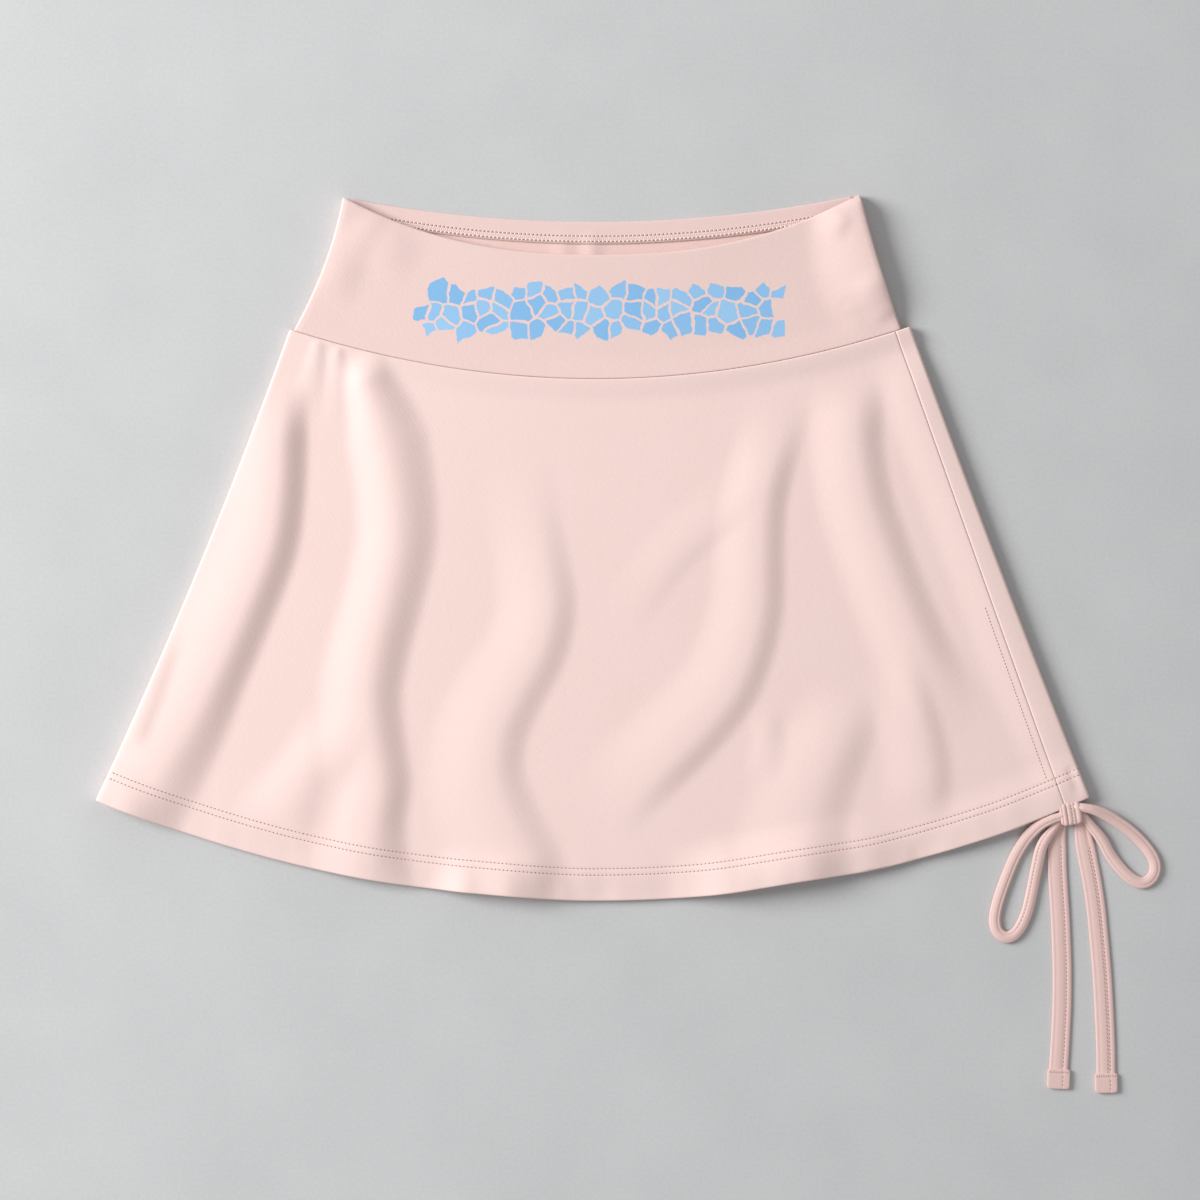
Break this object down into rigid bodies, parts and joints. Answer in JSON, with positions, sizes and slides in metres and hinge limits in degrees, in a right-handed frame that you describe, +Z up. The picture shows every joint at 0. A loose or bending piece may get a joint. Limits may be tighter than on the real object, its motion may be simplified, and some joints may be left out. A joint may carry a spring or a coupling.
{
  "type": "skort",
  "caption": "Pull-on sports skort laid flat: A-line skirt with a wide waistband, inner shorts, a side drawcord casing and a fabric tie in a bow at the hem.",
  "frame": {"origin": "middle of the cloth's footprint without the tie, on the surface that the garment lies on", "axes": "+X across the garment towards the side with the drawcord casing, +Y towards the waist, +Z up, out of the front of the garment"},
  "size_m": [0.6817, 0.5744, 0.0161],
  "materials": {
    "skirt_cloth": "brushed performance knit, soft sheen",
    "waistband_cloth": "double-layer performance knit with a printed band",
    "shorts_cloth": "smooth stretch knit",
    "tie_cloth": "flat tube of the skirt's knit, edge stitched"
  },
  "bodies": {
    "root": {"skirt_front": "skirt_cloth", "skirt_back": "skirt_cloth", "side_casing": "skirt_cloth", "waistband_front": "waistband_cloth", "waistband_back": "waistband_cloth", "shorts_back_left": "shorts_cloth", "shorts_back_right": "shorts_cloth", "shorts_front_left": "shorts_cloth", "shorts_front_right": "shorts_cloth", "tie_loop_left": "tie_cloth", "tie_loop_right": "tie_cloth", "tie_tail_left": "tie_cloth", "tie_tail_right": "tie_cloth", "tie_knot": "tie_cloth", "tie_end_left": "tie_cloth", "tie_end_right": "tie_cloth"}
  },
  "joints": []
}
